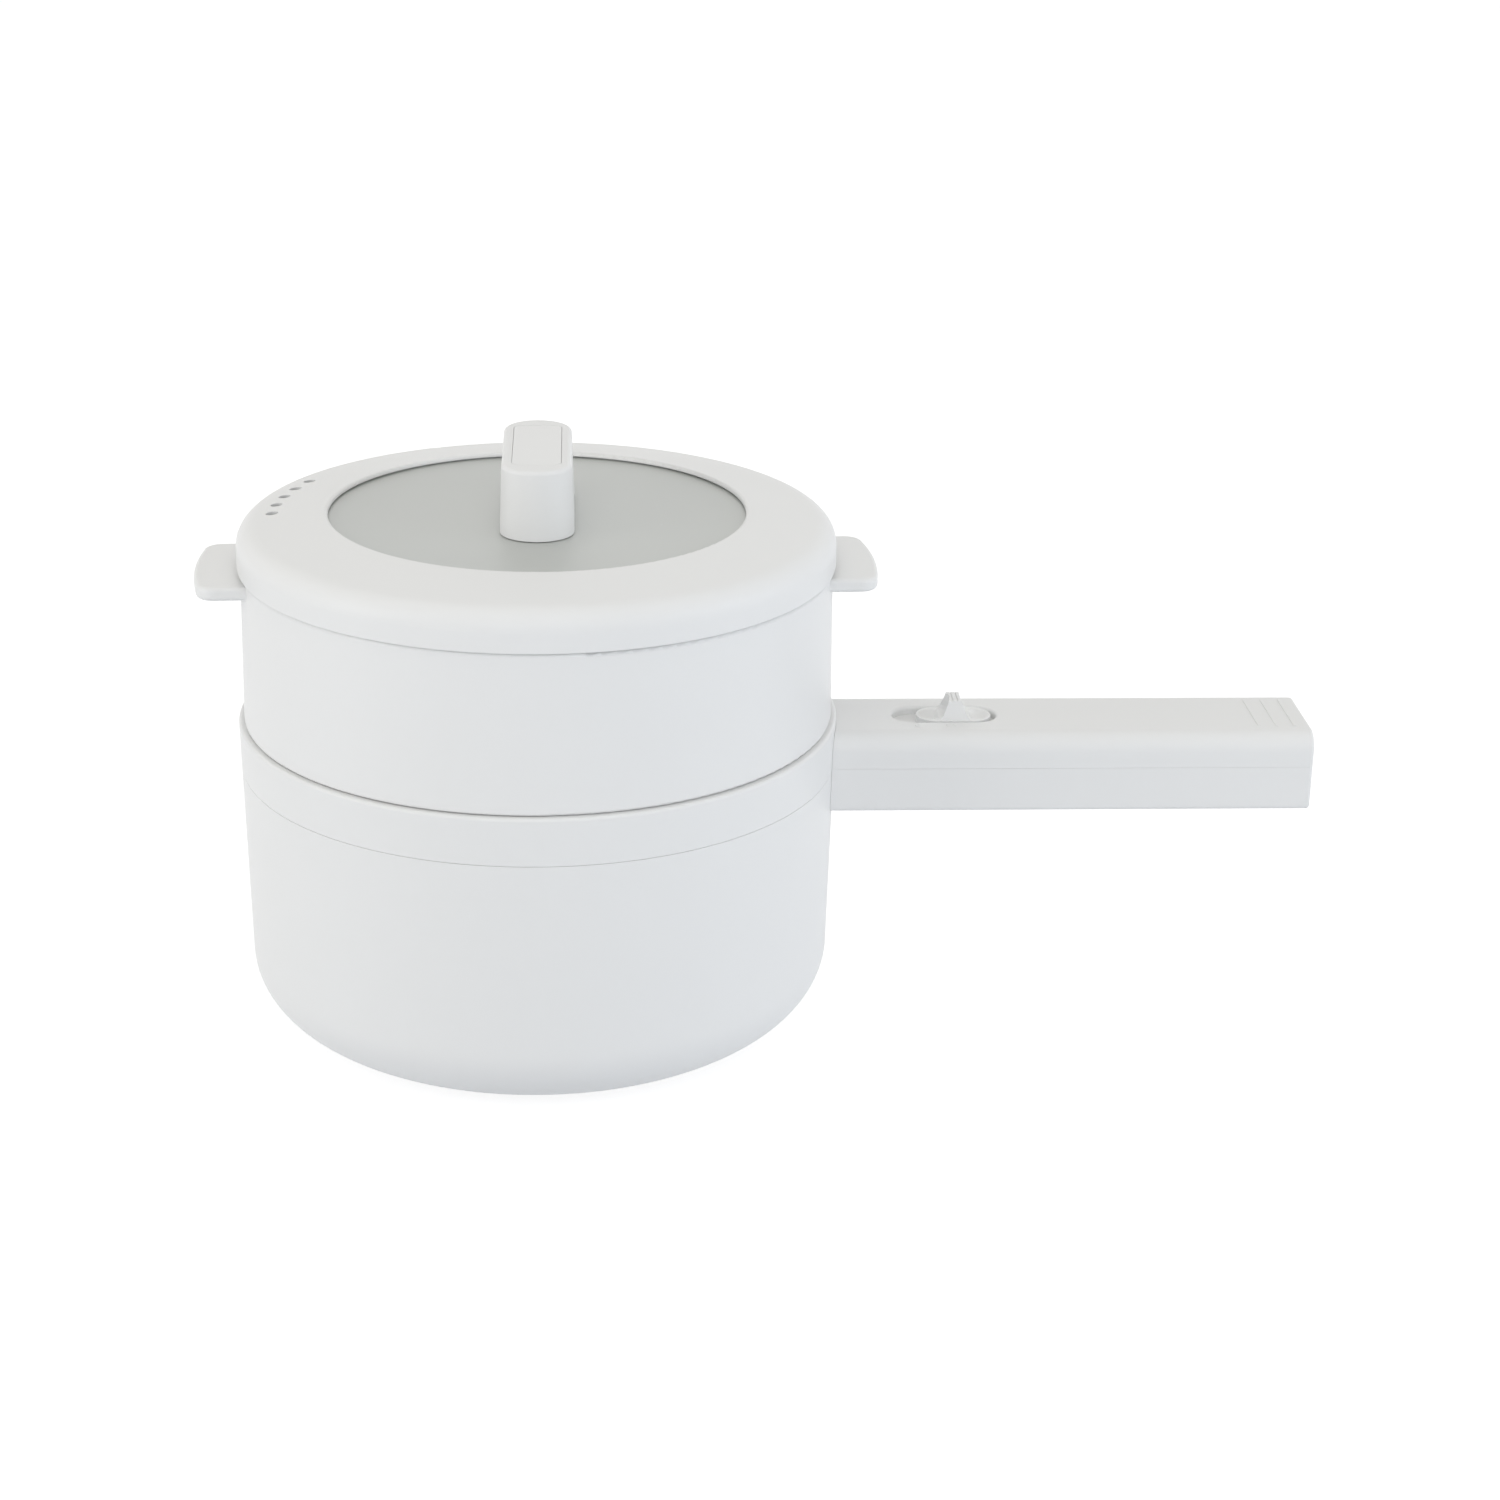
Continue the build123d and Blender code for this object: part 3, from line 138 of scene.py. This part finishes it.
def make_world():
    world = bpy.data.worlds.new("studio")
    world.use_nodes = True
    tree = world.node_tree
    light = tree.nodes["Background"]
    light.inputs["Strength"].default_value = WORLD_LIGHT
    way = tree.nodes.new("ShaderNodeTexCoord")
    parts = tree.nodes.new("ShaderNodeSeparateXYZ")
    tree.links.new(way.outputs["Generated"], parts.inputs[0])
    tree.links.new(mixed(tree, parts.outputs["Z"], SKY_LOW, SKY_HIGH), light.inputs["Color"])
    white = tree.nodes.new("ShaderNodeBackground")
    white.inputs["Color"].default_value = (1, 1, 1, 1)
    mix = tree.nodes.new("ShaderNodeMixShader")
    tree.links.new(background_ray(tree), mix.inputs[0])
    tree.links.new(light.outputs[0], mix.inputs[1])
    tree.links.new(white.outputs[0], mix.inputs[2])
    tree.links.new(mix.outputs[0], tree.nodes["World Output"].inputs["Surface"])
    bpy.context.scene.world = world


def make_floor():
    mesh = bpy.data.meshes.new("floor")
    half = FLOOR_SIZE / 2
    corners = [(-half, -half), (half, -half), (half, half), (-half, half)]
    corners = [(x, y, FLOOR_LEVEL) for x, y in corners]
    mesh.from_pydata(corners, [], [(0, 1, 2, 3)])
    floor = bpy.data.objects.new("floor", mesh)
    bpy.context.scene.collection.objects.link(floor)
    material = bpy.data.materials.new("floor_white")
    material.use_nodes = True
    tree = material.node_tree
    tree.nodes.remove(tree.nodes["Principled BSDF"])
    plain = tree.nodes.new("ShaderNodeBsdfDiffuse")
    plain.inputs["Color"].default_value = (*FLOOR_BOUNCE, 1)
    shown = tree.nodes.new("ShaderNodeBsdfDiffuse")
    shown.inputs["Color"].default_value = (FLOOR_SHADE, FLOOR_SHADE, FLOOR_SHADE, 1)
    glow = tree.nodes.new("ShaderNodeEmission")
    glow.inputs["Strength"].default_value = FLOOR_GLOW
    bright = tree.nodes.new("ShaderNodeAddShader")
    tree.links.new(shown.outputs[0], bright.inputs[0])
    tree.links.new(glow.outputs[0], bright.inputs[1])
    mix = tree.nodes.new("ShaderNodeMixShader")
    tree.links.new(background_ray(tree), mix.inputs[0])
    tree.links.new(plain.outputs[0], mix.inputs[1])
    tree.links.new(bright.outputs[0], mix.inputs[2])
    tree.links.new(mix.outputs[0], tree.nodes["Material Output"].inputs["Surface"])
    mesh.materials.append(material)


# Materials
def new_material(name, colour, roughness):
    """Material with a plain shader, and its node tree and shader."""
    material = bpy.data.materials.new(name)
    material.use_nodes = True
    tree = material.node_tree
    shader = tree.nodes["Principled BSDF"]
    shader.inputs["Base Color"].default_value = (*colour, 1)
    shader.inputs["Roughness"].default_value = roughness
    return material, tree, shader


def noise(tree, scale, detail):
    """Noise over the piece, of so many cells to the metre."""
    place = tree.nodes.new("ShaderNodeTexCoord")
    made = tree.nodes.new("ShaderNodeTexNoise")
    made.inputs["Scale"].default_value = scale
    made.inputs["Detail"].default_value = detail
    tree.links.new(place.outputs["Object"], made.inputs["Vector"])
    return made.outputs["Fac"]


def ranged(tree, value, low, high):
    """A value from 0 to 1 as one from low to high."""
    made = tree.nodes.new("ShaderNodeMapRange")
    made.inputs["To Min"].default_value = low
    made.inputs["To Max"].default_value = high
    tree.links.new(value, made.inputs["Value"])
    return made.outputs["Result"]


def bump(tree, shader, height, distance, strength):
    """Relief of a height, in metres, on a shader."""
    made = tree.nodes.new("ShaderNodeBump")
    made.inputs["Distance"].default_value = distance
    made.inputs["Strength"].default_value = strength
    tree.links.new(height, made.inputs["Height"])
    tree.links.new(made.outputs["Normal"], shader.inputs["Normal"])


def shade(colour, factor):
    return tuple(channel * factor for channel in colour)


def cells(tree, scale):
    """Distance to the nearest of scattered points, of so many to the metre."""
    place = tree.nodes.new("ShaderNodeTexCoord")
    made = tree.nodes.new("ShaderNodeTexVoronoi")
    made.inputs["Scale"].default_value = scale
    tree.links.new(place.outputs["Object"], made.inputs["Vector"])
    return made.outputs["Distance"]


def below(tree, value, limit, soft):
    """One where a value is under a limit, with a soft edge, and zero elsewhere."""
    made = tree.nodes.new("ShaderNodeMapRange")
    made.interpolation_type = "SMOOTHSTEP"
    made.inputs["From Min"].default_value = limit - soft
    made.inputs["From Max"].default_value = limit + soft
    made.inputs["To Min"].default_value = 1
    made.inputs["To Max"].default_value = 0
    tree.links.new(value, made.inputs["Value"])
    return made.outputs["Result"]


def bands(tree, axis, scale, wobble):
    """Waves across an axis, of so many to the metre."""
    place = tree.nodes.new("ShaderNodeTexCoord")
    made = tree.nodes.new("ShaderNodeTexWave")
    made.bands_direction = axis
    made.inputs["Scale"].default_value = scale
    made.inputs["Distortion"].default_value = wobble
    tree.links.new(place.outputs["Object"], made.inputs["Vector"])
    return made.outputs["Fac"]


def moulded(name, colour, roughness, grain, relief):
    """Moulded plastic with a faint uneven tone and a fine spark-eroded grain."""
    material, tree, shader = new_material(name, colour, roughness)
    shader.inputs["IOR"].default_value = PLASTIC_IOR
    uneven = noise(tree, scale=14, detail=2)
    tone = mixed(tree, uneven, shade(colour, 0.988), shade(colour, 1.012))
    tree.links.new(tone, shader.inputs["Base Color"])
    fine = noise(tree, scale=grain, detail=3)
    gloss = ranged(tree, fine, low=roughness - 0.05, high=roughness + 0.05)
    tree.links.new(gloss, shader.inputs["Roughness"])
    bump(tree, shader, fine, distance=relief, strength=0.35)
    return material


def soft_skin(name, colour, roughness):
    """Rubber or silicone with a dusty bloom and a matt skin."""
    material, tree, shader = new_material(name, colour, roughness)
    shader.inputs["IOR"].default_value = RUBBER_IOR
    bloom = noise(tree, scale=60, detail=4)
    tone = mixed(tree, bloom, shade(colour, 0.9), shade(colour, 1.08))
    tree.links.new(tone, shader.inputs["Base Color"])
    bump(tree, shader, noise(tree, scale=1800, detail=4), distance=0.00004, strength=0.4)
    return material


def metal(name, colour, roughness, axis, pitch):
    """Drawn or rolled metal with fine lines across an axis and a stained tone."""
    material, tree, shader = new_material(name, colour, roughness)
    shader.inputs["Metallic"].default_value = 1
    stain = noise(tree, scale=90, detail=5)
    tone = mixed(tree, stain, shade(colour, 0.86), shade(colour, 1.06))
    tree.links.new(tone, shader.inputs["Base Color"])
    lines = bands(tree, axis, scale=pitch, wobble=6)
    gloss = ranged(tree, lines, low=roughness - 0.08, high=roughness + 0.1)
    tree.links.new(gloss, shader.inputs["Roughness"])
    bump(tree, shader, lines, distance=0.00001, strength=0.3)
    return material


def cast_metal(name, colour):
    """Cast aluminium with a grainy skin and pores."""
    material, tree, shader = new_material(name, colour, roughness=0.5)
    shader.inputs["Metallic"].default_value = 1
    skin = noise(tree, scale=420, detail=6)
    pores = below(tree, cells(tree, scale=500), limit=0.12, soft=0.06)
    tree.links.new(mixed(tree, pores, colour, shade(colour, 0.6)), shader.inputs["Base Color"])
    tree.links.new(ranged(tree, skin, low=0.38, high=0.62), shader.inputs["Roughness"])
    bump(tree, shader, skin, distance=0.00012, strength=0.5)
    return material


def ceramic_coat(name, colour, speck):
    """Sprayed ceramic coat with fine dark specks and a slight orange peel."""
    material, tree, shader = new_material(name, colour, roughness=0.32)
    shader.inputs["Coat Weight"].default_value = 0.35
    shader.inputs["Coat Roughness"].default_value = 0.2
    specks = below(tree, cells(tree, scale=420), limit=0.16, soft=0.05)
    tree.links.new(mixed(tree, specks, colour, speck), shader.inputs["Base Color"])
    peel = noise(tree, scale=350, detail=2)
    tree.links.new(ranged(tree, peel, low=0.27, high=0.38), shader.inputs["Roughness"])
    bump(tree, shader, peel, distance=0.00008, strength=0.3)
    return material


def lead_skin(name, colour, stripe):
    """Extruded insulation in two colours that run along the lead."""
    material, tree, shader = new_material(name, colour, roughness=0.5)
    marks = below(tree, bands(tree, "DIAGONAL", scale=120, wobble=1), limit=0.5, soft=0.05)
    tree.links.new(mixed(tree, marks, colour, stripe), shader.inputs["Base Color"])
    skin = noise(tree, scale=900, detail=3)
    tree.links.new(ranged(tree, skin, low=0.42, high=0.58), shader.inputs["Roughness"])
    bump(tree, shader, skin, distance=0.00002, strength=0.3)
    return material


def lid_pane(name, colour):
    """Grey tempered glass with a clouded body, a satin top and a few dust specks; its mostly opaque grey
    is the glass's own tint plus painted shade of the interior seen through it.
    """
    material, tree, shader = new_material(name, colour, roughness=0.42)
    shader.inputs["IOR"].default_value = GLASS_IOR
    shader.inputs["Transmission Weight"].default_value = 0.2
    shader.inputs["Coat Weight"].default_value = 0.5
    shader.inputs["Coat Roughness"].default_value = 0.45
    cloud = noise(tree, scale=22, detail=3)
    tone = mixed(tree, cloud, shade(colour, 0.97), shade(colour, 1.03))
    dust = below(tree, cells(tree, scale=70), limit=0.035, soft=0.02)
    speck = tree.nodes.new("ShaderNodeMix")
    speck.data_type = "RGBA"
    speck.inputs["B"].default_value = (*DUST, 1)
    tree.links.new(tone, speck.inputs["A"])
    tree.links.new(ranged(tree, dust, low=0, high=0.35), speck.inputs["Factor"])
    tree.links.new(speck.outputs["Result"], shader.inputs["Base Color"])
    tree.links.new(ranged(tree, cloud, low=0.36, high=0.48), shader.inputs["Roughness"])
    bump(tree, shader, noise(tree, scale=6, detail=1), distance=0.0001, strength=0.05)
    return material


def paint(material, *names):
    """Gives CAD nodes a material."""
    for name in names:
        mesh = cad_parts[name].data
        mesh.materials.clear()
        mesh.materials.append(material)


make_camera()
make_world()
make_floor()
soft_lamp("top_lamp", TOP_PLACE, TOP_AIM, TOP_SIZE, TOP_LIGHT, TOP_COLOUR)
soft_lamp("left_lamp", LEFT_PLACE, SIDE_AIM, SIDE_SIZE, LEFT_LIGHT, LEFT_COLOUR)
soft_lamp("right_lamp", RIGHT_PLACE, SIDE_AIM, SIDE_SIZE, RIGHT_LIGHT, RIGHT_COLOUR)
soft_lamp("front_lamp", FRONT_PLACE, FRONT_AIM, FRONT_SIZE, FRONT_LIGHT, FRONT_COLOUR)
soft_lamp("back_lamp", BACK_PLACE, BACK_AIM, BACK_SIZE, BACK_LIGHT, BACK_COLOUR)

# White and black mouldings
satin_white = moulded("satin_white", WHITE, roughness=0.4, grain=2600, relief=0.00002)
paint(satin_white, "outer_casing", "rim_ring", "handle_upper", "handle_lower", "steamer_tier", "lid_frame",
      "knob")
button_white = moulded("button_white", shade(WHITE, 1.01), roughness=0.36, grain=3200, relief=0.000015)
paint(button_white, "power_slider", "knob_cap")
inner_white = moulded("inner_white", shade(WHITE, 0.99), roughness=0.5, grain=1800, relief=0.00004)
paint(inner_white, "base_cover", "steam_plate", "clamp_ring")
black_plastic = moulded("black_plastic", BLACK, roughness=0.5, grain=1800, relief=0.00004)
paint(black_plastic, "inlet_housing", "switch_body", "switch_actuator")

# Glass, pot coat and heater
# The lid glass's grey is its tint with painted shade of the interior behind it
paint(lid_pane("grey_glass_tint_and_painted_shade", GLASS_TINT_AND_SHADE), "lid_glass")
paint(ceramic_coat("speckled_coat", (0.62, 0.61, 0.58), speck=(0.2, 0.19, 0.18)), "inner_pot")
paint(cast_metal("cast_aluminium", (0.62, 0.62, 0.63)), "heater_plate")

# Metals
plated_steel = metal("plated_steel", STEEL, roughness=0.32, axis="Z", pitch=900)
paint(plated_steel, "base_screws", "strap_screws", "handle_screws", "handle_bolts", "clamp_screws",
      "knob_screw")
drawn_steel = metal("drawn_steel", shade(STEEL, 0.8), roughness=0.38, axis="X", pitch=1400)
paint(drawn_steel, "heater_tube", "heater_pins")
rolled_steel = metal("rolled_steel", STEEL, roughness=0.35, axis="Y", pitch=1600)
paint(rolled_steel, "thermostat_strap", "thermostat")
fuse_case = metal("fuse_case", (0.66, 0.62, 0.5), roughness=0.34, axis="Y", pitch=1200)
paint(fuse_case, "thermal_fuse")
nickelled_brass = metal("nickelled_brass", (0.66, 0.6, 0.47), roughness=0.28, axis="X", pitch=1500)
paint(nickelled_brass, "inlet_pins", "switch_terminals")

# Ceramic, rubber and silicone
steatite = moulded("steatite", (0.78, 0.75, 0.68), roughness=0.6, grain=900, relief=0.00008)
paint(steatite, "heater_beads")
paint(soft_skin("grey_rubber", (0.3, 0.3, 0.3), roughness=0.75), "foot_ring", "lead_grommet")
milky_silicone = soft_skin("milky_silicone", (0.68, 0.69, 0.68), roughness=0.55)
paint(milky_silicone, "rim_gasket", "glass_seal", "knob_pad", "knob_washer")

# Leads
brown_insulation = lead_skin("brown_insulation", (0.16, 0.07, 0.03), stripe=(0.18, 0.08, 0.035))
paint(brown_insulation, "live_lead", "switch_lead", "thermostat_lead")
paint(lead_skin("blue_insulation", (0.03, 0.09, 0.32), stripe=(0.035, 0.1, 0.35)), "neutral_lead")
paint(lead_skin("earth_insulation", (0.08, 0.28, 0.05), stripe=(0.7, 0.6, 0.04)), "earth_lead")

scene = bpy.context.scene
scene.view_settings.view_transform = "Standard"
